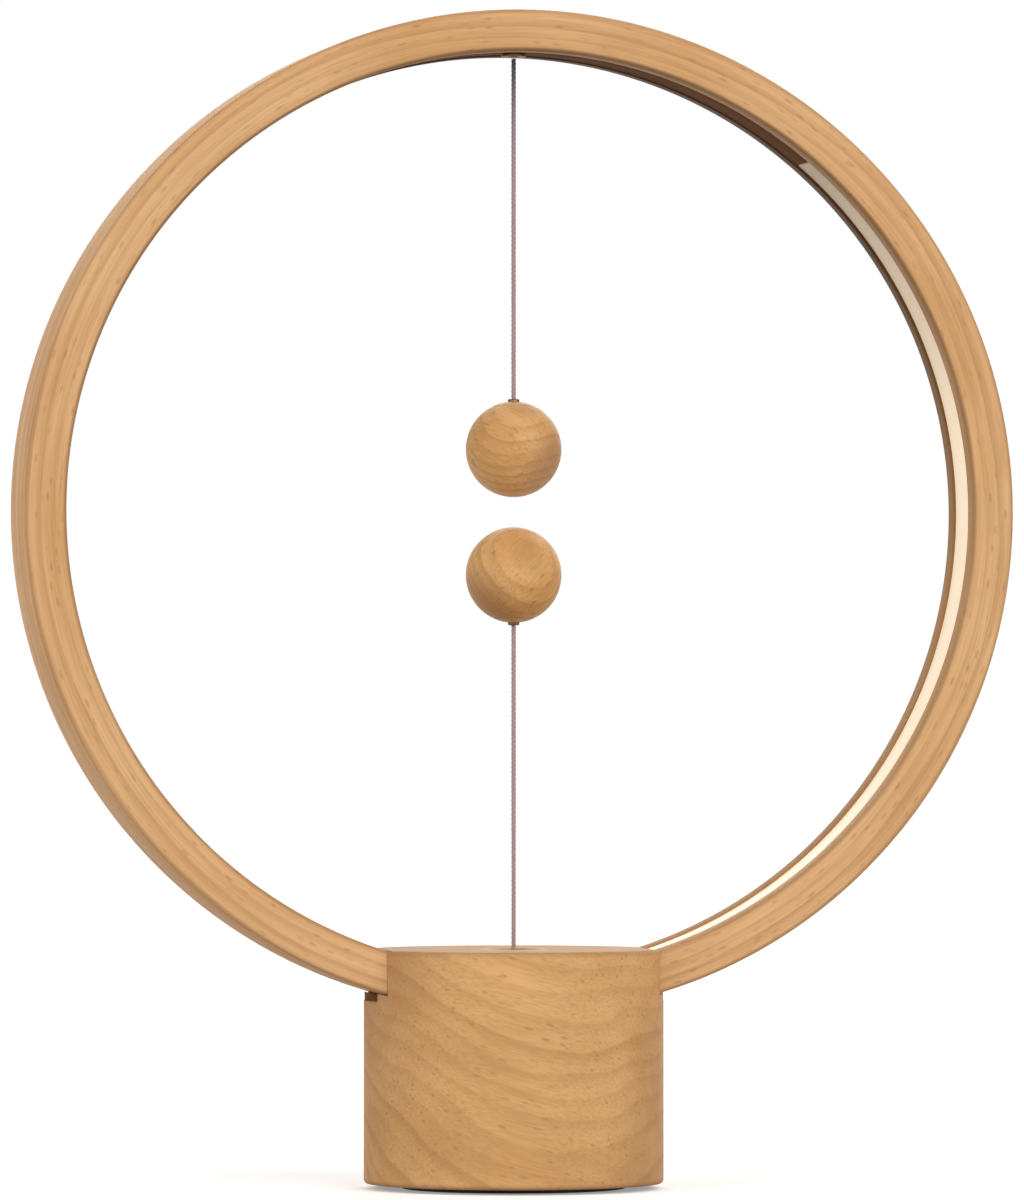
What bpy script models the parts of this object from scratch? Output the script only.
# A desk lamp: a wooden hoop stands in a round wooden base, and two wooden balls with
# magnets inside pull each other's threads tight across its middle.
# Raising the lower ball pulls a plunger in the base, which closes the lamp's contacts.
# Metres, +Z up, the front towards -Y, the origin on the table under the base's axis.
import math

import bmesh
import bpy
from mathutils import Vector

# Fits that several pieces share
SEAT_GAP = 0.0003
RUNNING_GAP = 0.0003
CUT_OVERRUN = 0.002

# Base: a turned wooden cup, closed at the top
BASE_RADIUS = 0.036
BASE_HEIGHT = 0.0574
BASE_WALL = 0.008
BASE_EDGE_RADIUS = 0.001

# Hoop: bent wood with a channel for the light along its inner side.
# Its circle, if closed, would stop HOOP_FLOOR above the base's hollow.
HOOP_OUTER_RADIUS = 0.120
HOOP_THICKNESS = 0.010
HOOP_DEPTH = 0.028
HOOP_FLOOR = 0.0029
HOOP_EDGE_RADIUS = 0.0012
CHANNEL_WIDTH = 0.016
CHANNEL_DEPTH = 0.006
LEDGE_WIDTH = 0.0012

# Light: a strip of small lamps on the channel's floor behind an opal strip
DIFFUSER_THICKNESS = 0.0015
DIFFUSER_RECESS = 0.0006
STRIP_WIDTH = 0.008
STRIP_THICKNESS = 0.0005
CHIP_LENGTH = 0.0028
CHIP_WIDTH = 0.0035
CHIP_HEIGHT = 0.0009
CHIP_PITCH = 0.0167
ANCHOR_HALF_ANGLE = math.radians(40)

# Bottom cover, its foot, the ballast and the board that it carries
FOOT_PROUD = 0.0012
FOOT_GROOVE = 0.0008
FOOT_WIDTH = 0.005
FOOT_INSET = 0.001
COVER_THICKNESS = 0.003
COVER_LEDGE = 0.005
BALLAST_THICKNESS = 0.005
BALLAST_MARGIN = 0.001
BOSS_RADIUS = 0.0026
BOSS_INSET = 0.008
BOARD_LIFT = 0.0012
BOARD_THICKNESS = 0.0016
BOARD_MARGIN = 0.002
FASTENER_ANGLES = [math.radians(angle) for angle in (30, 150, 270)]

# Parts on the board
CHIP_BODY = 0.005
CHIP_BODY_HEIGHT = 0.001
COIL_RADIUS = 0.003
COIL_HEIGHT = 0.0028
CAPACITOR_RADIUS = 0.0025
CAPACITOR_HEIGHT = 0.0075
COIL_ANGLE = math.radians(-45)
CAPACITOR_ANGLE = math.radians(-135)

# Supply socket and the plastic bezel around it, in the back of the base
SOCKET_WIDTH = 0.009
SOCKET_HEIGHT = 0.0032
SOCKET_WALL = 0.0004
SOCKET_TAIL = 0.0065
SOCKET_LIP = 0.0005
TONGUE_WIDTH = 0.0067
TONGUE_THICKNESS = 0.0007
TONGUE_SETBACK = 0.0012
BEZEL_WIDTH = 0.0124
BEZEL_HEIGHT = 0.0074
BEZEL_WALL = 0.001
BEZEL_CORNER = 0.0015
BEZEL_SETBACK = 0.0004

# Thread
THREAD_RADIUS = 0.0005
THREAD_LINK = 0.006
THREAD_POINT_SPACING = 0.003

# Brass guide that the lower thread comes out of
GUIDE_BORE = 0.001
GUIDE_MOUTH = 0.007
GUIDE_MOUTH_DEPTH = 0.004
GUIDE_RIM = 0.0015
GUIDE_RIM_HEIGHT = 0.001
GUIDE_SHANK_WALL = 0.002
GUIDE_CONE_DEPTH = 0.0044

# Eyelet and knot at the top of the hoop
EYELET_BORE = 0.0009
EYELET_SHANK_RADIUS = 0.002
EYELET_SHANK_LENGTH = 0.0026
EYELET_FLANGE_RADIUS = 0.003
EYELET_FLANGE = 0.0006
EYELET_MOUTH = 0.0018
EYELET_MOUTH_DEPTH = 0.0011
PIVOT_DROP = 0.0004
KNOT_RADIUS = 0.0011

# Balls
BALL_RADIUS = 0.0115
BALL_GAP = 0.0072
MAGNET_RADIUS = 0.005
MAGNET_THICKNESS = 0.005
BALL_POLE_WALL = 0.003
FERRULE_RADIUS = 0.0014
FERRULE_LENGTH = 0.0020
FERRULE_PROUD = 0.0006
THREAD_DEPTH_IN_PLUG = 0.008

# Switch: housing, plunger, contacts and spring
PLUNGER_TRAVEL = 0.003
PLUNGER_RADIUS = 0.0057
PLUNGER_WELL_RADIUS = 0.003
PLUNGER_WELL_DEPTH = 0.004
PLUNGER_WEB = 0.0014
CRIMP_RADIUS = 0.0018
CRIMP_LENGTH = 0.0024
CRIMP_ROOM_RADIUS = 0.0026
CRIMP_ROOM_DEPTH = 0.004
PLUNGER_BORE = 0.0009
HOUSING_WALL = 0.002
HOUSING_WEB = 0.0025
HOUSING_FLANGE_RADIUS = 0.0135
HOUSING_THREAD_HOLE = 0.0015
HOUSING_BOARD_GAP = 0.0041
CAP_THICKNESS = 0.0016
CAP_SPIGOT = 0.0012
WASHER_INNER_RADIUS = 0.0033
WASHER_OUTER_RADIUS = 0.0052
WASHER_THICKNESS = 0.0005
PIN_RADIUS = 0.0007
PIN_DROP = 0.0033
SPRING_RADIUS = 0.0022
SPRING_WIRE_RADIUS = 0.0003
SPRING_TURNS = 4
SPRING_POINTS_PER_TURN = 9

# Leads
LED_LEAD_RADIUS = 0.0007
LED_LEAD_HOLE_RADIUS = 0.0014
SWITCH_LEAD_RADIUS = 0.0006
LEAD_POINT_SPACING = 0.0026
GROOVE_WIDTH = 0.0024
GROOVE_DEPTH = 0.0017
LEAD_BEND = 0.0018
LEAD_STANDOFF = 0.0021

# Screws: shank radius, head radius, head height and how far they bite
HOOP_SCREW_RADIUS = 0.0012
HOOP_SCREW_HEAD = 0.0022
HOOP_SCREW_BITE = 0.006
HOOP_SCREW_MARGIN = 0.0011
HOOP_SCREW_END_DISTANCE = 0.0045
HOUSING_SCREW_RADIUS = 0.0009
HOUSING_SCREW_HEAD = 0.0018
HOUSING_SCREW_BITE = 0.006
HOUSING_SCREW_ANGLE = math.radians(45)
COVER_SCREW_RADIUS = 0.001
COVER_SCREW_HEAD = 0.0018
COVER_SCREW_BITE = 0.006
BOARD_SCREW_RADIUS = 0.0008
BOARD_SCREW_HEAD = 0.0017
BOARD_SCREW_BITE = 0.004
HEAD_HEIGHT_SHARE = 0.7
HEAD_CROWN_SHARE = 0.65
HEAD_EDGE_SHARE = 0.45
TIP_SHARE = 0.8
PILOT_DEPTH_GAP = 0.0005

# Facets
HOOP_STEPS = 58
DIFFUSER_STEPS = 32
STRIP_STEPS = 20
ANCHOR_STEPS = 16
POCKET_STEPS = 5
BASE_SEGMENTS = 48
PLATE_SEGMENTS = 36
BALL_SEGMENTS = 26
BALL_RINGS = 12
PLUG_CAP_STEPS = 3
SMALL_SEGMENTS = 20
FINE_SEGMENTS = 12
SCREW_SEGMENTS = 8
EDGE_STEPS = 2
SMOOTH_ANGLE = math.radians(35)
MERGE_DISTANCE = 0.000003

# Places that follow from the sizes above
hoop_inner = HOOP_OUTER_RADIUS - HOOP_THICKNESS
hoop_middle = HOOP_OUTER_RADIUS - HOOP_THICKNESS / 2
hoop_half_depth = HOOP_DEPTH / 2
channel_floor = hoop_inner + CHANNEL_DEPTH
channel_ledge = hoop_inner + DIFFUSER_RECESS + DIFFUSER_THICKNESS + SEAT_GAP
channel_half = CHANNEL_WIDTH / 2
inner_channel_half = channel_half - LEDGE_WIDTH

base_bottom_z = FOOT_PROUD
cavity_radius = BASE_RADIUS - BASE_WALL
rebate_radius = cavity_radius + COVER_LEDGE
cover_top_z = base_bottom_z + COVER_THICKNESS
ledge_z = cover_top_z + SEAT_GAP
ballast_top_z = cover_top_z + SEAT_GAP + BALLAST_THICKNESS
board_z = ballast_top_z + BOARD_LIFT
board_top_z = board_z + BOARD_THICKNESS
boss_top_z = board_z - SEAT_GAP
board_radius = cavity_radius - BOARD_MARGIN
boss_ring_radius = cavity_radius - BOSS_INSET

# The switch stands over the board, and the base is hollowed as deep as the two need
cap_bottom_z = board_top_z + HOUSING_BOARD_GAP
tube_end_z = cap_bottom_z + CAP_THICKNESS + SEAT_GAP
spigot_top_z = tube_end_z + CAP_SPIGOT
plunger_bottom_z = spigot_top_z + SEAT_GAP + PLUNGER_TRAVEL
crimp_room_top_z = plunger_bottom_z + CRIMP_ROOM_DEPTH
well_floor_z = crimp_room_top_z + PLUNGER_WEB
plunger_top_z = well_floor_z + PLUNGER_WELL_DEPTH
washer_top_z = plunger_top_z + SEAT_GAP + WASHER_THICKNESS
web_bottom_z = washer_top_z + SEAT_GAP + PIN_DROP
housing_top_z = web_bottom_z + HOUSING_WEB
roof_z = housing_top_z + SEAT_GAP
hoop_centre_z = roof_z + HOOP_FLOOR + HOOP_OUTER_RADIUS
bore_radius = PLUNGER_RADIUS + RUNNING_GAP
tube_radius = bore_radius + HOUSING_WALL
pin_y = (WASHER_INNER_RADIUS + WASHER_OUTER_RADIUS) / 2
housing_screw_ring = (tube_radius + HOUSING_FLANGE_RADIUS) / 2
housing_screw_x = housing_screw_ring * math.cos(HOUSING_SCREW_ANGLE)
housing_screw_y = housing_screw_ring * math.sin(HOUSING_SCREW_ANGLE)

# The hoop's screws stand in its lips, as far out as the base's hollow lets their heads go
hoop_screw_ring = cavity_radius - HOOP_SCREW_HEAD - HOOP_SCREW_MARGIN
hoop_screw_y = (hoop_half_depth + channel_half) / 2
hoop_screw_x = math.sqrt(hoop_screw_ring ** 2 - hoop_screw_y ** 2)
hoop_end_x = hoop_screw_x - HOOP_SCREW_END_DISTANCE
hoop_end_angle = math.pi - math.asin(hoop_end_x / hoop_middle)
hoop_bottom_at_screw = hoop_centre_z - math.sqrt(HOOP_OUTER_RADIUS ** 2 - hoop_screw_x ** 2)
strip_end = math.pi - math.asin((hoop_screw_x + 2 * LEAD_BEND) / channel_floor)

guide_shank = GUIDE_BORE + GUIDE_SHANK_WALL
guide_rim_radius = GUIDE_MOUTH + GUIDE_RIM
guide_cone_top_z = BASE_HEIGHT - GUIDE_RIM_HEIGHT
guide_cone_bottom_z = guide_cone_top_z - GUIDE_CONE_DEPTH

upper_anchor_z = hoop_centre_z + hoop_inner
upper_pivot_z = upper_anchor_z - EYELET_FLANGE - PIVOT_DROP
upper_ball_pivot_z = upper_pivot_z - THREAD_LINK
lower_pivot_z = BASE_HEIGHT
lower_ball_pivot_z = lower_pivot_z + THREAD_LINK
pivot_clearance = THREAD_RADIUS + SEAT_GAP
upper_ball_z = hoop_centre_z + BALL_GAP / 2 + BALL_RADIUS
lower_ball_z = hoop_centre_z - BALL_GAP / 2 - BALL_RADIUS

socket_z = board_top_z + SEAT_GAP + SOCKET_HEIGHT / 2
bezel_front_y = math.sqrt(BASE_RADIUS ** 2 - (BEZEL_WIDTH / 2) ** 2) - BEZEL_SETBACK
bezel_back_y = cavity_radius + SEAT_GAP
socket_mouth_y = bezel_back_y + BEZEL_WALL + SOCKET_LIP
socket_back_y = bezel_back_y - SOCKET_TAIL


def start_scene():
    for obj in list(bpy.data.objects):
        bpy.data.objects.remove(obj, do_unlink=True)
    made = []
    for name in ("magnetic_balance_lamp", "cutters"):
        collection = bpy.data.collections.new(name)
        bpy.context.scene.collection.children.link(collection)
        made.append(collection)
    return made


def linear(colour):
    channels = []
    for value in colour:
        share = value / 255
        channels.append(share / 12.92 if share <= 0.04045 else ((share + 0.055) / 1.055) ** 2.4)
    return (*channels, 1.0)


def make_material(name, colour, roughness, metallic=0.0):
    material = bpy.data.materials.new(name)
    material.use_nodes = True
    shader = material.node_tree.nodes["Principled BSDF"]
    shader.inputs["Base Color"].default_value = linear(colour)
    shader.inputs["Roughness"].default_value = roughness
    shader.inputs["Metallic"].default_value = metallic
    return material


def make_pivot(name, height, parent=None):
    empty = bpy.data.objects.new(name, None)
    lamp.objects.link(empty)
    empty.parent = parent
    empty.location = (0.0, 0.0, height - pivot_height.get(parent, 0.0))
    pivot_height[empty] = height
    return empty


def add_node(name, data, material, parent, place=(0.0, 0.0, 0.0), turn=(0.0, 0.0, 0.0)):
    obj = bpy.data.objects.new(name, data)
    data.materials.append(material)
    lamp.objects.link(obj)
    obj.parent = parent
    obj.location = Vector(place) - Vector((0.0, 0.0, pivot_height[parent]))
    obj.rotation_euler = turn
    return obj


def add_cutter(name, data, place=(0.0, 0.0, 0.0)):
    obj = bpy.data.objects.new(name, data)
    cutters.objects.link(obj)
    obj.location = place
    obj.display_type = "WIRE"
    obj.hide_render = True
    return obj


def combine(obj, other, operation="DIFFERENCE"):
    step = obj.modifiers.new(other.name, "BOOLEAN")
    step.operation = operation
    step.solver = "EXACT"
    step.object = other


def finish_mesh(bm, name):
    bmesh.ops.recalc_face_normals(bm, faces=bm.faces)
    mesh = bpy.data.meshes.new(name)
    bm.to_mesh(mesh)
    bm.free()
    mesh.shade_smooth()
    mesh.set_sharp_from_angle(angle=SMOOTH_ANGLE)
    return mesh


def arc_points(centre, radius, start, end, steps):
    points = []
    for i in range(steps + 1):
        angle = start + (end - start) * i / steps
        points.append((centre[0] + radius * math.cos(angle), centre[1] + radius * math.sin(angle)))
    return points


def profile_mesh(name, profile, closed):
    mesh = bpy.data.meshes.new(name)
    edges = [(i, i + 1) for i in range(len(profile) - 1)]
    if closed:
        edges.append((len(profile) - 1, 0))
    mesh.from_pydata([(radius, 0.0, height) for radius, height in profile], edges, [])
    return mesh


def turn_on_lathe(obj, segments):
    # A profile at +X runs down its outer side, so that the turned skin faces outwards
    step = obj.modifiers.new("lathe", "SCREW")
    step.axis = "Z"
    step.angle = math.tau
    step.steps = segments
    step.render_steps = segments
    step.use_merge_vertices = True
    step.merge_threshold = MERGE_DISTANCE
    step.use_smooth_shade = True


def turned(name, profile, material, parent, segments=SMALL_SEGMENTS, closed=False, **where):
    obj = add_node(name, profile_mesh(name, profile, closed), material, parent, **where)
    turn_on_lathe(obj, segments)
    return obj


def hoop_arc_mesh(name, outline, start, end, steps):
    # The outline's points are a radius and a place in the hoop's depth.
    # It is swept round the hoop's centre, by angles from the top towards +X.
    bm = bmesh.new()
    corners = []
    for radius, depth in outline:
        corners.append(bm.verts.new((radius * math.sin(start), depth, radius * math.cos(start))))
    face = bm.faces.new(corners)
    bmesh.ops.spin(bm, geom=[face, *face.edges, *face.verts], cent=(0.0, 0.0, 0.0),
                   axis=(0.0, 1.0, 0.0), angle=end - start, steps=steps)
    return finish_mesh(bm, name)


def mirrored_outline(half):
    return half + [(radius, -depth) for radius, depth in reversed(half)]


def box_outline(inner, outer, half_width):
    return mirrored_outline([(outer, half_width), (inner, half_width)])


def rounded_outline(width, height, corner):
    points = []
    reach = (width / 2 - corner, height / 2 - corner)
    for quarter, side in enumerate(((1, 1), (-1, 1), (-1, -1), (1, -1))):
        centre = (side[0] * reach[0], side[1] * reach[1])
        first = quarter * math.pi / 2
        points += arc_points(centre, corner, first, first + math.pi / 2, EDGE_STEPS + 1)
    return points


def extruded_mesh(name, outline, front_y, back_y, centre_z):
    bm = bmesh.new()
    face = bm.faces.new([bm.verts.new((x, front_y, centre_z + z)) for x, z in outline])
    swept = bmesh.ops.extrude_face_region(bm, geom=[face])["geom"]
    corners = [item for item in swept if isinstance(item, bmesh.types.BMVert)]
    bmesh.ops.translate(bm, vec=(0.0, back_y - front_y, 0.0), verts=corners)
    bmesh.ops.remove_doubles(bm, verts=bm.verts, dist=MERGE_DISTANCE)
    return finish_mesh(bm, name)


def add_cylinder(bm, x, y, low_z, high_z, radius, segments):
    made = bmesh.ops.create_cone(bm, cap_ends=True, segments=segments, radius1=radius,
                                 radius2=radius, depth=high_z - low_z)
    bmesh.ops.translate(bm, vec=(x, y, (low_z + high_z) / 2), verts=made["verts"])


def cylinders_mesh(name, cylinders, segments=FINE_SEGMENTS):
    bm = bmesh.new()
    for cylinder in cylinders:
        add_cylinder(bm, *cylinder, segments)
    return finish_mesh(bm, name)


def box_mesh(name, low, high):
    bm = bmesh.new()
    made = bmesh.ops.create_cube(bm, size=1.0)
    size = Vector(high) - Vector(low)
    bmesh.ops.scale(bm, vec=size, verts=made["verts"])
    bmesh.ops.translate(bm, vec=Vector(low) + size / 2, verts=made["verts"])
    return finish_mesh(bm, name)


def smooth_route(points, spacing):
    # Points at an even spacing along a smooth curve through the given ones
    ends = [points[0] * 2 - points[1], *points, points[-1] * 2 - points[-2]]
    route = [points[0]]
    for before, a, b, after in zip(ends, ends[1:], ends[2:], ends[3:]):
        count = max(1, round((b - a).length / spacing))
        for i in range(1, count + 1):
            t = i / count
            route.append((a * 2 + (b - before) * t + (before * 2 - a * 5 + b * 4 - after) * t * t
                          + (a * 3 - before - b * 3 + after) * t ** 3) / 2)
    return route


def tube(name, route, radius, material, parent, sides=2):
    curve = bpy.data.curves.new(name, "CURVE")
    curve.dimensions = "3D"
    curve.bevel_depth = radius
    curve.bevel_resolution = sides
    curve.use_fill_caps = True
    spline = curve.splines.new("POLY")
    spline.points.add(len(route) - 1)
    origin = Vector((0.0, 0.0, pivot_height[parent]))
    for point, place in zip(spline.points, route):
        point.co = (*(place - origin), 1.0)
    return add_node(name, curve, material, parent, place=origin)


def upright_thread(name, low_z, high_z, parent):
    count = math.ceil((high_z - low_z) / THREAD_POINT_SPACING)
    route = [Vector((0.0, 0.0, low_z + (high_z - low_z) * i / count)) for i in range(count + 1)]
    return tube(name, route, THREAD_RADIUS, finish["thread"], parent)


def screw(name, place, shank, head, length, head_up):
    # The head's seat is at the screw's own origin
    height = head * HEAD_HEIGHT_SHARE
    profile = [(0.0, height), (head * HEAD_CROWN_SHARE, height), (head, height * HEAD_EDGE_SHARE),
               (head, 0.0), (shank, 0.0), (shank, -length * TIP_SHARE), (0.0, -length)]
    turn = (0.0, 0.0, 0.0) if head_up else (math.pi, 0.0, 0.0)
    return turned(name, profile, finish["steel"], stand, SCREW_SEGMENTS, place=place, turn=turn)


def hoop_height(radius, x):
    # Height of the hoop's lower half at x, on a circle of the given radius
    return hoop_centre_z - math.sqrt(radius ** 2 - x ** 2)


def make_hoop():
    outer = HOOP_OUTER_RADIUS - HOOP_EDGE_RADIUS
    inner = hoop_inner + HOOP_EDGE_RADIUS
    depth = hoop_half_depth - HOOP_EDGE_RADIUS
    half = arc_points((outer, depth), HOOP_EDGE_RADIUS, 0.0, math.pi / 2, EDGE_STEPS)
    half += arc_points((inner, depth), HOOP_EDGE_RADIUS, math.pi / 2, math.pi, EDGE_STEPS)
    half += [(hoop_inner, channel_half), (channel_ledge, channel_half),
             (channel_ledge, inner_channel_half), (channel_floor, inner_channel_half)]
    mesh = hoop_arc_mesh("hoop", mirrored_outline(half), -hoop_end_angle, hoop_end_angle, HOOP_STEPS)
    hoop = add_node("hoop", mesh, finish["hoop_wood"], stand, place=(0.0, 0.0, hoop_centre_z))
    combine(hoop, hoop_end_holes)


def make_anchor():
    wide = channel_half - SEAT_GAP
    narrow = inner_channel_half - SEAT_GAP
    face = hoop_inner + SEAT_GAP
    half = [(channel_floor - SEAT_GAP, narrow), (channel_ledge - SEAT_GAP, narrow),
            (channel_ledge - SEAT_GAP, wide), (face, wide)]
    mesh = hoop_arc_mesh("anchor_block", mirrored_outline(half), -ANCHOR_HALF_ANGLE,
                         ANCHOR_HALF_ANGLE, ANCHOR_STEPS)
    block = add_node("anchor_block", mesh, finish["dark_wood"], stand, place=(0.0, 0.0, hoop_centre_z))
    bore = cylinders_mesh("anchor_bore", [(0.0, 0.0, upper_anchor_z - CUT_OVERRUN,
                                           upper_anchor_z + CHANNEL_DEPTH + CUT_OVERRUN,
                                           EYELET_SHANK_RADIUS + SEAT_GAP)])
    combine(block, add_cutter("anchor_bore", bore))
    eyelet = [(EYELET_SHANK_RADIUS, EYELET_SHANK_LENGTH), (EYELET_SHANK_RADIUS, 0.0),
              (EYELET_FLANGE_RADIUS, 0.0), (EYELET_FLANGE_RADIUS, -EYELET_FLANGE),
              (EYELET_MOUTH, -EYELET_FLANGE), (EYELET_BORE, EYELET_MOUTH_DEPTH - EYELET_FLANGE),
              (EYELET_BORE, EYELET_SHANK_LENGTH)]
    turned("thread_eyelet", eyelet, finish["brass"], stand, FINE_SEGMENTS, closed=True,
           place=(0.0, 0.0, upper_anchor_z))
    # The thread's end is knotted over the eyelet's top
    tail_end = upper_pivot_z + pivot_clearance - upper_anchor_z
    knot_z = EYELET_SHANK_LENGTH + SEAT_GAP + KNOT_RADIUS
    neck = -math.acos(THREAD_RADIUS / KNOT_RADIUS)
    knot = arc_points((0.0, knot_z), KNOT_RADIUS, math.pi / 2, neck, EDGE_STEPS + 2)
    knot[0] = (0.0, knot_z + KNOT_RADIUS)
    knot += [(THREAD_RADIUS, tail_end), (0.0, tail_end)]
    turned("upper_thread_knot", knot, finish["thread"], stand, FINE_SEGMENTS,
           place=(0.0, 0.0, upper_anchor_z))


def make_light(side, sign):
    start = ANCHOR_HALF_ANGLE + 2 * SEAT_GAP / hoop_inner
    angles = (start, strip_end) if sign > 0 else (-strip_end, -start)
    face = hoop_inner + DIFFUSER_RECESS
    outline = box_outline(face, face + DIFFUSER_THICKNESS, channel_half - SEAT_GAP)
    name = "diffuser_" + side
    mesh = hoop_arc_mesh(name, outline, *angles, DIFFUSER_STEPS)
    add_node(name, mesh, finish["opal"], stand, place=(0.0, 0.0, hoop_centre_z))

    back = channel_floor - SEAT_GAP
    front = back - STRIP_THICKNESS
    outline = box_outline(front, back, STRIP_WIDTH / 2)
    name = "led_strip_" + side
    strip = add_node(name, hoop_arc_mesh(name, outline, *angles, STRIP_STEPS), finish["strip"],
                     stand, place=(0.0, 0.0, hoop_centre_z))
    chips = bmesh.new()
    pitch = CHIP_PITCH / front
    for i in range(int((strip_end - start) / pitch)):
        angle = sign * (start + pitch * (i + 1 / 2))
        made = bmesh.ops.create_cube(chips, size=1.0)["verts"]
        height = CHIP_HEIGHT + STRIP_THICKNESS / 2
        bmesh.ops.scale(chips, vec=(CHIP_LENGTH, CHIP_WIDTH, height), verts=made)
        bmesh.ops.translate(chips, vec=(0.0, 0.0, front - CHIP_HEIGHT + height / 2), verts=made)
        turn = Vector((0.0, 0.0, 1.0)).rotation_difference(
            Vector((math.sin(angle), 0.0, math.cos(angle))))
        bmesh.ops.rotate(chips, cent=(0.0, 0.0, 0.0), matrix=turn.to_matrix(), verts=made)
    name = "led_chips_" + side
    combine(strip, add_cutter(name, finish_mesh(chips, name), (0.0, 0.0, hoop_centre_z)), "UNION")


def make_base():
    edge = BASE_EDGE_RADIUS
    wall = BASE_RADIUS - edge
    profile = [(guide_rim_radius + SEAT_GAP, BASE_HEIGHT)]
    profile += arc_points((wall, BASE_HEIGHT - edge), edge, math.pi / 2, 0.0, EDGE_STEPS)
    profile += arc_points((wall, base_bottom_z + edge), edge, 0.0, -math.pi / 2, EDGE_STEPS)
    profile += [(rebate_radius, base_bottom_z), (rebate_radius, ledge_z), (cavity_radius, ledge_z),
                (cavity_radius, roof_z), (guide_shank + SEAT_GAP, roof_z),
                (guide_shank + SEAT_GAP, guide_cone_bottom_z - SEAT_GAP),
                (guide_rim_radius + SEAT_GAP, guide_cone_top_z - SEAT_GAP)]
    base = turned("base_body", profile, finish["base_wood"], stand, BASE_SEGMENTS, closed=True)

    # The pockets take the hoop's two ends with an even gap around them
    outline = box_outline(hoop_inner - SEAT_GAP, HOOP_OUTER_RADIUS + SEAT_GAP,
                          hoop_half_depth + SEAT_GAP)
    pocket_end = math.pi - math.asin((hoop_end_x - SEAT_GAP) / hoop_middle)
    pocket_start = math.pi - math.asin((BASE_RADIUS + BASE_WALL) / hoop_middle)
    for side, angles in (("right", (pocket_start, pocket_end)), ("left", (-pocket_end, -pocket_start))):
        name = "hoop_pocket_" + side
        mesh = hoop_arc_mesh(name, outline, *angles, POCKET_STEPS)
        combine(base, add_cutter(name, mesh, (0.0, 0.0, hoop_centre_z)))
    combine(base, hoop_end_holes)

    holes = []
    for sign in (-1, 1):
        holes.append((sign * housing_screw_x, sign * housing_screw_y, roof_z - CUT_OVERRUN,
                      roof_z + HOUSING_SCREW_BITE + PILOT_DEPTH_GAP, HOUSING_SCREW_RADIUS + SEAT_GAP))
    for x, y in cover_screw_places:
        holes.append((x, y, ledge_z - CUT_OVERRUN, ledge_z + COVER_SCREW_BITE + PILOT_DEPTH_GAP,
                      COVER_SCREW_RADIUS + SEAT_GAP))
    combine(base, add_cutter("base_holes", cylinders_mesh("base_holes", holes)))
    outline = rounded_outline(BEZEL_WIDTH + 2 * SEAT_GAP, BEZEL_HEIGHT + 2 * SEAT_GAP,
                              BEZEL_CORNER + SEAT_GAP)
    window = extruded_mesh("socket_window", outline, socket_back_y,
                           BASE_RADIUS + CUT_OVERRUN, socket_z)
    combine(base, add_cutter("socket_window", window))


def make_guide():
    profile = [(guide_rim_radius, BASE_HEIGHT), (guide_rim_radius, guide_cone_top_z),
               (guide_shank, guide_cone_bottom_z), (guide_shank, roof_z + SEAT_GAP),
               (GUIDE_BORE, roof_z + SEAT_GAP), (GUIDE_BORE, BASE_HEIGHT - GUIDE_MOUTH_DEPTH),
               (GUIDE_MOUTH, BASE_HEIGHT)]
    turned("thread_guide", profile, finish["brass"], stand, closed=True)


def make_switch_housing():
    profile = [(HOUSING_THREAD_HOLE, housing_top_z), (HOUSING_FLANGE_RADIUS, housing_top_z),
               (HOUSING_FLANGE_RADIUS, web_bottom_z), (tube_radius, web_bottom_z),
               (tube_radius, tube_end_z), (bore_radius, tube_end_z), (bore_radius, web_bottom_z),
               (HOUSING_THREAD_HOLE, web_bottom_z)]
    housing = turned("plunger_housing", profile, finish["black_plastic"], stand, closed=True)
    low_z = web_bottom_z - CUT_OVERRUN
    high_z = housing_top_z + CUT_OVERRUN
    holes = []
    for sign in (-1, 1):
        holes.append((sign * housing_screw_x, sign * housing_screw_y, low_z, high_z,
                      HOUSING_SCREW_RADIUS + SEAT_GAP))
        holes.append((0.0, sign * pin_y, low_z, high_z, PIN_RADIUS + SEAT_GAP))
    combine(housing, add_cutter("housing_holes", cylinders_mesh("housing_holes", holes)))
    for side, sign in (("front", -1), ("back", 1)):
        near, far = sorted((sign * (pin_y + PIN_RADIUS), sign * (HOUSING_FLANGE_RADIUS + CUT_OVERRUN)))
        name = "lead_groove_" + side
        groove = box_mesh(name, (-GROOVE_WIDTH / 2, near, housing_top_z - GROOVE_DEPTH),
                          (GROOVE_WIDTH / 2, far, high_z))
        combine(housing, add_cutter(name, groove))

    spigot = bore_radius - SEAT_GAP
    cap = [(0.0, spigot_top_z), (spigot, spigot_top_z), (spigot, tube_end_z - SEAT_GAP),
           (tube_radius, tube_end_z - SEAT_GAP), (tube_radius, cap_bottom_z), (0.0, cap_bottom_z)]
    turned("housing_cap", cap, finish["black_plastic"], stand)
    for side, sign in (("left", -1), ("right", 1)):
        screw("housing_screw_" + side,
              (sign * housing_screw_x, sign * housing_screw_y, web_bottom_z - SEAT_GAP),
              HOUSING_SCREW_RADIUS, HOUSING_SCREW_HEAD,
              roof_z - web_bottom_z + SEAT_GAP + HOUSING_SCREW_BITE, head_up=False)


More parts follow.
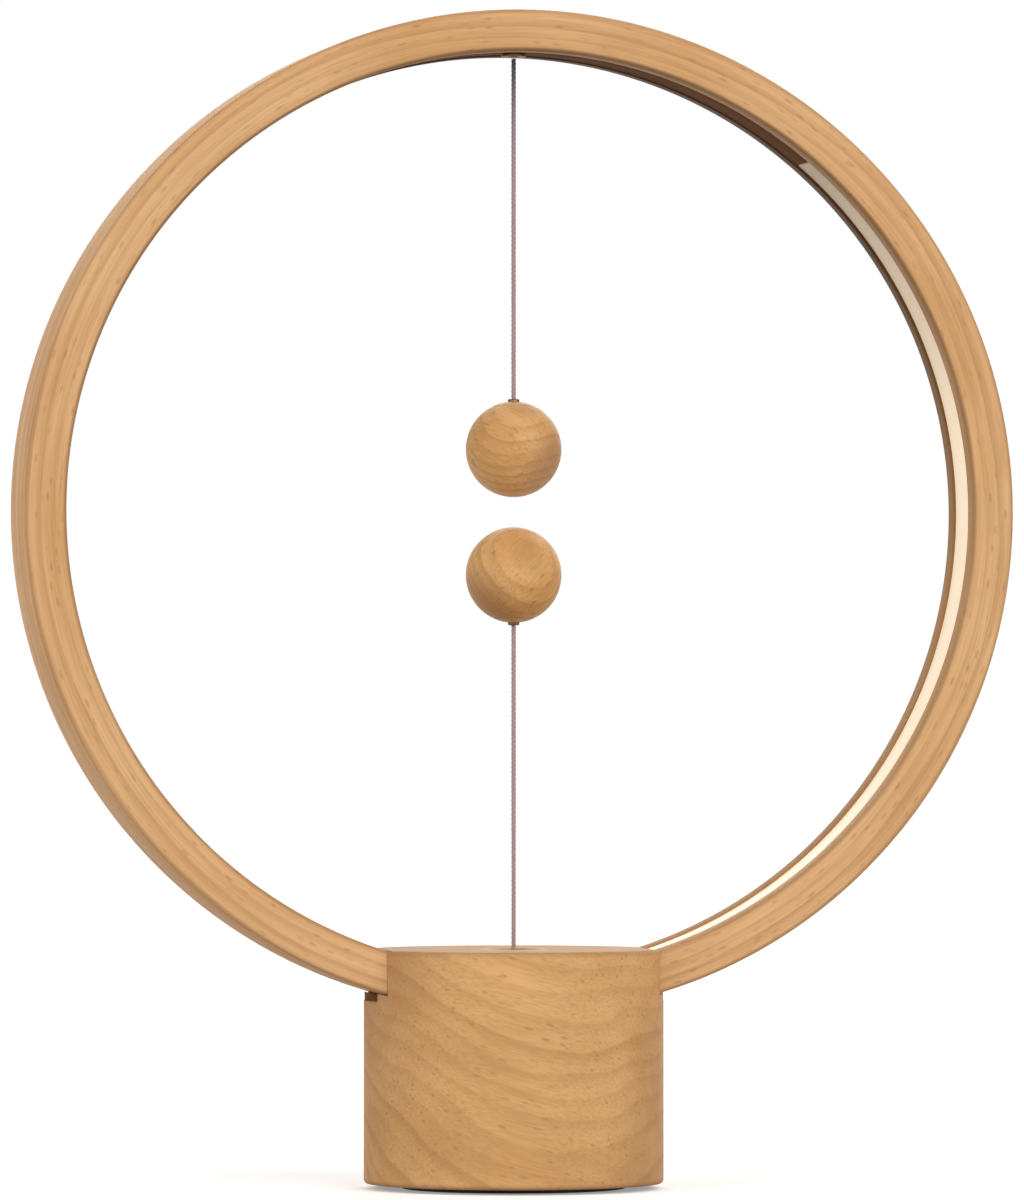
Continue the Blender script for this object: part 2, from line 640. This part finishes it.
def make_contacts():
    for side, sign in (("front", -1), ("back", 1)):
        mesh = cylinders_mesh("pin", [(0.0, 0.0, washer_top_z + SEAT_GAP, housing_top_z - SEAT_GAP,
                                       PIN_RADIUS)])
        add_node("contact_pin_" + side, mesh, finish["brass"], stand, place=(0.0, sign * pin_y, 0.0))
        lead_z = housing_top_z - SWITCH_LEAD_RADIUS - SEAT_GAP / 2
        # Out along the groove, over the flange's edge and down beside the housing
        route = [(pin_y + PIN_RADIUS + SEAT_GAP, lead_z)]
        route += arc_points((HOUSING_FLANGE_RADIUS, lead_z - LEAD_BEND), LEAD_BEND, math.pi / 2, 0.0,
                            EDGE_STEPS)
        end_y = tube_radius + LEAD_STANDOFF
        route += [((HOUSING_FLANGE_RADIUS + end_y) / 2, (lead_z + board_top_z) / 2),
                  (end_y, board_top_z + 2 * LEAD_BEND), (end_y, board_top_z + SEAT_GAP)]
        points = [Vector((0.0, sign * y, z)) for y, z in route]
        tube("switch_lead_" + side, smooth_route(points, LEAD_POINT_SPACING), SWITCH_LEAD_RADIUS,
             finish["lead"], stand, sides=1)


def make_plunger():
    profile = [(PLUNGER_WELL_RADIUS, plunger_top_z), (PLUNGER_RADIUS, plunger_top_z),
               (PLUNGER_RADIUS, plunger_bottom_z), (CRIMP_ROOM_RADIUS, plunger_bottom_z),
               (CRIMP_ROOM_RADIUS, crimp_room_top_z), (PLUNGER_BORE, crimp_room_top_z),
               (PLUNGER_BORE, well_floor_z),
               (PLUNGER_WELL_RADIUS, well_floor_z)]
    turned("pull_plunger", profile, finish["white_plastic"], plunger, closed=True)

    washer_low = washer_top_z - WASHER_THICKNESS
    washer = [(WASHER_INNER_RADIUS, washer_top_z), (WASHER_OUTER_RADIUS, washer_top_z),
              (WASHER_OUTER_RADIUS, washer_low), (WASHER_INNER_RADIUS, washer_low)]
    turned("contact_washer", washer, finish["brass"], plunger, closed=True)

    crimp_top = crimp_room_top_z - SEAT_GAP
    crimp_low = crimp_top - CRIMP_LENGTH
    bore = THREAD_RADIUS + SEAT_GAP
    crimp = [(bore, crimp_top), (CRIMP_RADIUS, crimp_top), (CRIMP_RADIUS, crimp_low),
             (bore, crimp_low)]
    turned("thread_crimp", crimp, finish["brass"], plunger, FINE_SEGMENTS, closed=True)
    upright_thread("plunger_thread", crimp_low - THREAD_RADIUS, lower_pivot_z - pivot_clearance,
                   plunger)

    low_z = well_floor_z + SEAT_GAP + SPRING_WIRE_RADIUS
    high_z = web_bottom_z - SEAT_GAP - SPRING_WIRE_RADIUS
    count = SPRING_TURNS * SPRING_POINTS_PER_TURN
    coil = []
    for i in range(count + 1):
        angle = math.tau * SPRING_TURNS * i / count
        coil.append(Vector((SPRING_RADIUS * math.cos(angle), SPRING_RADIUS * math.sin(angle),
                            low_z + (high_z - low_z) * i / count)))
    tube("return_spring", coil, SPRING_WIRE_RADIUS, finish["steel"], stand, sides=1)
    pitch = (high_z - low_z) / SPRING_TURNS
    print(f"return_spring: gap between turns {(pitch - 2 * SPRING_WIRE_RADIUS) * 1000:.2f} mm")


def make_ball(name, centre_z, flip, parent):
    # In its own frame a ball's magnet is towards +Z and its thread comes in from -Z
    bore = MAGNET_RADIUS + SEAT_GAP
    plug_radius = bore - SEAT_GAP
    magnet_top = BALL_RADIUS - BALL_POLE_WALL - SEAT_GAP
    magnet_low = magnet_top - MAGNET_THICKNESS
    place = (0.0, 0.0, centre_z)
    turn = (math.pi, 0.0, 0.0) if flip else (0.0, 0.0, 0.0)

    rim = -math.acos(bore / BALL_RADIUS)
    skin = arc_points((0.0, 0.0), BALL_RADIUS, math.pi / 2, rim, BALL_RINGS)
    skin[0] = (0.0, BALL_RADIUS)
    skin += [(bore, magnet_top + SEAT_GAP), (0.0, magnet_top + SEAT_GAP)]
    turned(name, skin, finish["ball_wood"], parent, BALL_SEGMENTS, place=place, turn=turn)

    magnet = [(0.0, magnet_top), (MAGNET_RADIUS, magnet_top), (MAGNET_RADIUS, magnet_low),
              (0.0, magnet_low)]
    turned(name + "_magnet", magnet, finish["magnet"], parent, place=place, turn=turn)

    seat = FERRULE_RADIUS + SEAT_GAP
    seat_z = -BALL_RADIUS - FERRULE_PROUD + FERRULE_LENGTH + SEAT_GAP
    hole = THREAD_RADIUS + SEAT_GAP
    thread_end = THREAD_DEPTH_IN_PLUG - BALL_RADIUS
    plug_top = magnet_low - SEAT_GAP
    plug = [(0.0, plug_top), (plug_radius, plug_top)]
    plug += arc_points((0.0, 0.0), BALL_RADIUS, -math.acos(plug_radius / BALL_RADIUS),
                       -math.acos(seat / BALL_RADIUS), PLUG_CAP_STEPS)
    plug += [(seat, seat_z), (hole, seat_z), (hole, thread_end + SEAT_GAP), (0.0, thread_end + SEAT_GAP)]
    turned(name + "_plug", plug, finish["ball_wood"], parent, place=place, turn=turn)

    ferrule_low = -BALL_RADIUS - FERRULE_PROUD
    ferrule_top = ferrule_low + FERRULE_LENGTH
    ferrule = [(hole, ferrule_top), (FERRULE_RADIUS, ferrule_top),
               (FERRULE_RADIUS, ferrule_low + FERRULE_PROUD / 2),
               (FERRULE_RADIUS - FERRULE_PROUD / 2, ferrule_low), (hole, ferrule_low)]
    turned(name + "_ferrule", ferrule, finish["dark_brass"], parent, FINE_SEGMENTS, closed=True,
           place=place, turn=turn)
    return centre_z + (-thread_end if flip else thread_end)


def make_balls():
    thread_top = make_ball("lower_ball", lower_ball_z, False, lower_ball)
    upright_thread("lower_thread_link", lower_pivot_z, lower_ball_pivot_z - pivot_clearance, lower_link)
    upright_thread("lower_thread", lower_ball_pivot_z, thread_top, lower_ball)
    thread_low = make_ball("upper_ball", upper_ball_z, True, upper_ball)
    upright_thread("upper_thread_link", upper_ball_pivot_z + pivot_clearance, upper_pivot_z, upper_link)
    upright_thread("upper_thread", thread_low, upper_ball_pivot_z, upper_ball)


def make_bottom():
    cover_radius = rebate_radius - SEAT_GAP
    foot_outer = cavity_radius - FOOT_INSET
    foot_inner = foot_outer - FOOT_WIDTH
    groove_top = base_bottom_z + FOOT_GROOVE
    cover = [(0.0, cover_top_z), (cover_radius, cover_top_z), (cover_radius, base_bottom_z),
             (foot_outer + SEAT_GAP, base_bottom_z), (foot_outer + SEAT_GAP, groove_top),
             (foot_inner - SEAT_GAP, groove_top), (foot_inner - SEAT_GAP, base_bottom_z),
             (0.0, base_bottom_z)]
    bottom = turned("bottom_cover", cover, finish["black_plastic"], stand, PLATE_SEGMENTS)
    bosses = [(x, y, cover_top_z - COVER_THICKNESS / 2, boss_top_z, BOSS_RADIUS)
              for x, y in board_screw_places]
    combine(bottom, add_cutter("cover_bosses", cylinders_mesh("cover_bosses", bosses)), "UNION")
    holes = [(x, y, boss_top_z - BOARD_SCREW_BITE - PILOT_DEPTH_GAP, boss_top_z + CUT_OVERRUN,
              BOARD_SCREW_RADIUS + SEAT_GAP) for x, y in board_screw_places]
    for x, y in cover_screw_places:
        holes.append((x, y, cover_head_z - CUT_OVERRUN / 2, cover_top_z + CUT_OVERRUN,
                      COVER_SCREW_RADIUS + SEAT_GAP))
    combine(bottom, add_cutter("cover_holes", cylinders_mesh("cover_holes", holes)))
    sinks = [(x, y, base_bottom_z - CUT_OVERRUN, cover_head_z + SEAT_GAP, COVER_SCREW_HEAD + SEAT_GAP)
             for x, y in cover_screw_places]
    combine(bottom, add_cutter("cover_sinks", cylinders_mesh("cover_sinks", sinks)))
    for i, (x, y) in enumerate(cover_screw_places, 1):
        screw(f"cover_screw_{i}", (x, y, cover_head_z), COVER_SCREW_RADIUS, COVER_SCREW_HEAD,
              ledge_z - cover_head_z + COVER_SCREW_BITE, head_up=False)

    foot_top = groove_top - SEAT_GAP
    bevel = FOOT_PROUD / 2
    foot = [(foot_inner, foot_top), (foot_outer, foot_top), (foot_outer, bevel),
            (foot_outer - bevel, 0.0), (foot_inner + bevel, 0.0), (foot_inner, bevel)]
    turned("foot_ring", foot, finish["rubber"], stand, PLATE_SEGMENTS, closed=True)

    ballast_radius = cavity_radius - BALLAST_MARGIN
    low_z = cover_top_z + SEAT_GAP
    ballast = turned("ballast_plate", [(0.0, ballast_top_z), (ballast_radius, ballast_top_z),
                                       (ballast_radius, low_z), (0.0, low_z)],
                     finish["steel"], stand, PLATE_SEGMENTS)
    holes = [(x, y, low_z - CUT_OVERRUN, ballast_top_z + CUT_OVERRUN, BOSS_RADIUS + SEAT_GAP)
             for x, y in board_screw_places]
    combine(ballast, add_cutter("ballast_holes", cylinders_mesh("ballast_holes", holes)))


def make_board():
    board = turned("circuit_board", [(0.0, board_top_z), (board_radius, board_top_z),
                                     (board_radius, board_z), (0.0, board_z)],
                   finish["board"], stand, PLATE_SEGMENTS)
    holes = [(x, y, board_z - CUT_OVERRUN, board_top_z + CUT_OVERRUN, BOARD_SCREW_RADIUS + SEAT_GAP)
             for x, y in board_screw_places]
    combine(board, add_cutter("board_holes", cylinders_mesh("board_holes", holes)))
    for i, (x, y) in enumerate(board_screw_places, 1):
        screw(f"board_screw_{i}", (x, y, board_top_z + SEAT_GAP), BOARD_SCREW_RADIUS,
              BOARD_SCREW_HEAD, BOARD_THICKNESS + 2 * SEAT_GAP + BOARD_SCREW_BITE, head_up=True)
    seat_z = board_top_z + SEAT_GAP
    half = CHIP_BODY / 2
    add_node("driver_chip", box_mesh("driver_chip", (-half, -half, 0.0), (half, half, CHIP_BODY_HEIGHT)),
             finish["black_plastic"], stand, place=(0.0, 0.0, seat_z))
    ring = (tube_radius + board_radius) / 2
    coil = cylinders_mesh("power_coil", [(0.0, 0.0, 0.0, COIL_HEIGHT, COIL_RADIUS)], SMALL_SEGMENTS)
    add_node("power_coil", coil, finish["black_plastic"], stand,
             place=(ring * math.cos(COIL_ANGLE), ring * math.sin(COIL_ANGLE), seat_z))
    can = cylinders_mesh("smoothing_capacitor", [(0.0, 0.0, 0.0, CAPACITOR_HEIGHT, CAPACITOR_RADIUS)],
                         SMALL_SEGMENTS)
    add_node("smoothing_capacitor", can, finish["magnet"], stand,
             place=(ring * math.cos(CAPACITOR_ANGLE), ring * math.sin(CAPACITOR_ANGLE), seat_z))


def make_socket():
    shell_outline = rounded_outline(SOCKET_WIDTH, SOCKET_HEIGHT, SOCKET_HEIGHT / 2 - SOCKET_WALL / 4)
    shell = add_node("socket_shell", extruded_mesh("socket_shell", shell_outline, socket_back_y,
                                                   socket_mouth_y, socket_z), finish["steel"], stand)
    inner_height = SOCKET_HEIGHT - 2 * SOCKET_WALL
    inner = rounded_outline(SOCKET_WIDTH - 2 * SOCKET_WALL, inner_height,
                            inner_height / 2 - SOCKET_WALL / 4)
    inside_back = socket_back_y + 2 * SOCKET_WALL
    room = extruded_mesh("socket_room", inner, inside_back, socket_mouth_y + CUT_OVERRUN, socket_z)
    combine(shell, add_cutter("socket_room", room))
    half = (TONGUE_WIDTH / 2, TONGUE_THICKNESS / 2)
    tongue = box_mesh("socket_tongue", (-half[0], inside_back + SEAT_GAP, socket_z - half[1]),
                      (half[0], socket_mouth_y - TONGUE_SETBACK, socket_z + half[1]))
    add_node("socket_tongue", tongue, finish["black_plastic"], stand)

    outline = rounded_outline(BEZEL_WIDTH, BEZEL_HEIGHT, BEZEL_CORNER)
    bezel = add_node("socket_bezel", extruded_mesh("socket_bezel", outline, bezel_back_y,
                                                   bezel_front_y, socket_z),
                     finish["black_plastic"], stand)
    outline = rounded_outline(BEZEL_WIDTH - 2 * BEZEL_WALL, BEZEL_HEIGHT - 2 * BEZEL_WALL,
                              BEZEL_CORNER - BEZEL_WALL / 2)
    plug_room = extruded_mesh("plug_room", outline, bezel_back_y + BEZEL_WALL,
                              bezel_front_y + CUT_OVERRUN, socket_z)
    combine(bezel, add_cutter("plug_room", plug_room))
    outline = rounded_outline(SOCKET_WIDTH + 2 * SEAT_GAP, SOCKET_HEIGHT + 2 * SEAT_GAP,
                              SOCKET_HEIGHT / 2 - SOCKET_WALL / 4 + SEAT_GAP)
    slot = extruded_mesh("shell_slot", outline, bezel_back_y - CUT_OVERRUN,
                         bezel_back_y + BEZEL_WALL + CUT_OVERRUN / 2, socket_z)
    combine(bezel, add_cutter("shell_slot", slot))


def make_led_lead(side, sign):
    # From the strip's end down through the hoop's floor and the roof to the board
    run = channel_floor - 2 * SEAT_GAP - LED_LEAD_RADIUS
    start = strip_end + 2 * SEAT_GAP / hoop_inner
    route = [(run * math.sin(start), hoop_centre_z + run * math.cos(start))]
    bend_x = hoop_screw_x + LEAD_BEND
    route += arc_points((bend_x, hoop_height(run, bend_x) - LEAD_BEND), LEAD_BEND, math.pi / 2, math.pi,
                        EDGE_STEPS)
    route += [(hoop_screw_x, roof_z), (hoop_screw_x, board_top_z + 2 * LEAD_BEND),
              (hoop_screw_x, board_top_z + SEAT_GAP)]
    points = [Vector((sign * x, 0.0, z)) for x, z in route]
    tube("led_lead_" + side, smooth_route(points, LEAD_POINT_SPACING), LED_LEAD_RADIUS,
         finish["lead"], stand, sides=1)


lamp, cutters = start_scene()
pivot_height = {}
finish = {
    "hoop_wood": make_material("hoop_wood", (212, 166, 116), 0.5),
    "base_wood": make_material("base_wood", (202, 153, 102), 0.5),
    "ball_wood": make_material("ball_wood", (210, 156, 96), 0.45),
    "dark_wood": make_material("dark_wood", (150, 106, 68), 0.6),
    "opal": make_material("opal", (250, 240, 226), 0.4),
    "strip": make_material("strip", (238, 238, 232), 0.5),
    "thread": make_material("thread", (204, 190, 188), 0.8),
    "brass": make_material("brass", (196, 160, 96), 0.3, 1.0),
    "dark_brass": make_material("dark_brass", (112, 88, 56), 0.4, 1.0),
    "steel": make_material("steel", (190, 190, 188), 0.3, 1.0),
    "magnet": make_material("magnet", (172, 172, 174), 0.25, 1.0),
    "black_plastic": make_material("black_plastic", (38, 37, 36), 0.55),
    "white_plastic": make_material("white_plastic", (232, 230, 224), 0.45),
    "board": make_material("board", (34, 92, 60), 0.5),
    "lead": make_material("lead", (228, 226, 220), 0.6),
    "rubber": make_material("rubber", (30, 30, 30), 0.8),
}
stand = make_pivot("stand", 0.0)
plunger = make_pivot("plunger", 0.0, stand)
lower_link = make_pivot("lower_link", lower_pivot_z, plunger)
lower_ball = make_pivot("lower_ball_pivot", lower_ball_pivot_z, lower_link)
upper_link = make_pivot("upper_link", upper_pivot_z, stand)
upper_ball = make_pivot("upper_ball_pivot", upper_ball_pivot_z, upper_link)

board_screw_places = [(boss_ring_radius * math.cos(angle), boss_ring_radius * math.sin(angle))
                      for angle in FASTENER_ANGLES]
cover_ring = (cavity_radius + rebate_radius) / 2
cover_screw_places = [(cover_ring * math.cos(angle), cover_ring * math.sin(angle))
                      for angle in FASTENER_ANGLES]
cover_head_z = base_bottom_z + COVER_SCREW_HEAD * HEAD_HEIGHT_SHARE + SEAT_GAP
hoop_screw_places = [(x, y) for x in (-hoop_screw_x, hoop_screw_x) for y in (-hoop_screw_y, hoop_screw_y)]
hoop_screw_top_z = hoop_bottom_at_screw + HOOP_SCREW_BITE
# Each hoop end is drilled for two screws and, between them, for its lead
drilled = [(x, y, roof_z - CUT_OVERRUN, hoop_screw_top_z + PILOT_DEPTH_GAP, HOOP_SCREW_RADIUS + SEAT_GAP)
           for x, y in hoop_screw_places]
drilled += [(x, 0.0, roof_z - CUT_OVERRUN, hoop_height(channel_floor, x) + CUT_OVERRUN,
             LED_LEAD_HOLE_RADIUS) for x in (-hoop_screw_x, hoop_screw_x)]
hoop_end_holes = add_cutter("hoop_end_holes", cylinders_mesh("hoop_end_holes", drilled))

make_hoop()
make_anchor()
for side, sign in (("left", -1), ("right", 1)):
    make_light(side, sign)
    make_led_lead(side, sign)
make_base()
for i, (x, y) in enumerate(hoop_screw_places, 1):
    screw(f"hoop_screw_{i}", (x, y, roof_z - SEAT_GAP), HOOP_SCREW_RADIUS, HOOP_SCREW_HEAD,
          hoop_screw_top_z - roof_z + SEAT_GAP, head_up=False)
make_guide()
make_switch_housing()
make_contacts()
make_plunger()
make_balls()
make_bottom()
make_board()
make_socket()
